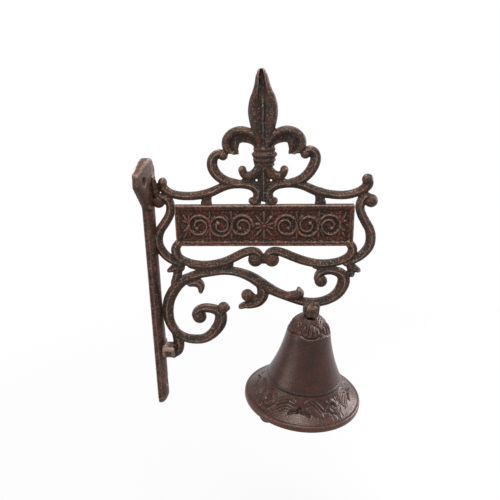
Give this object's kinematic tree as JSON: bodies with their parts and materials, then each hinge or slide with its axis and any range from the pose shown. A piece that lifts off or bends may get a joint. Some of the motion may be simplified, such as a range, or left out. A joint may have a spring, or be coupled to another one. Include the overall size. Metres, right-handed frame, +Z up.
{
  "type": "wall bell",
  "caption": "Cast scrollwork wall bracket with a fleur-de-lis finial and a sunk panel of leaf scrolls, carrying a flared bell with a hanging clapper.",
  "frame": {"origin": "centre of the lower screw hole, on the wall face of the bracket's plate", "axes": "+X out from the wall along the scrollwork, -Y towards the scrollwork's front with the sunk panel field, +Z up"},
  "size_m": [0.1787, 0.0996, 0.3008],
  "materials": {
    "bracket_iron": "matte, rusty brown",
    "bell_iron": "matte, rusty brown",
    "hanger_steel": "dull, browned",
    "clapper_iron": "matte, dark"
  },
  "bodies": {
    "wall_bracket": {"scroll_bracket": "bracket_iron", "bell": "bell_iron", "eye_screw": "hanger_steel", "washer": "hanger_steel", "nut": "hanger_steel"},
    "link": {"clapper_link": "hanger_steel"},
    "clapper": {"clapper": "clapper_iron"}
  },
  "joints": [
    {"name": "link_swing", "type": "hinge", "parent": "wall_bracket", "child": "link", "pos_m": [0.12922, 0, 0.04401], "axis": [0.9971, 0, -0.0767], "range_deg": [-22, 22]},
    {"name": "clapper_swing", "type": "hinge", "parent": "link", "child": "clapper", "pos_m": [0.12845, 0, 0.03389], "axis": [0, 1, 0], "range_deg": [-53, 9.5]}
  ]
}
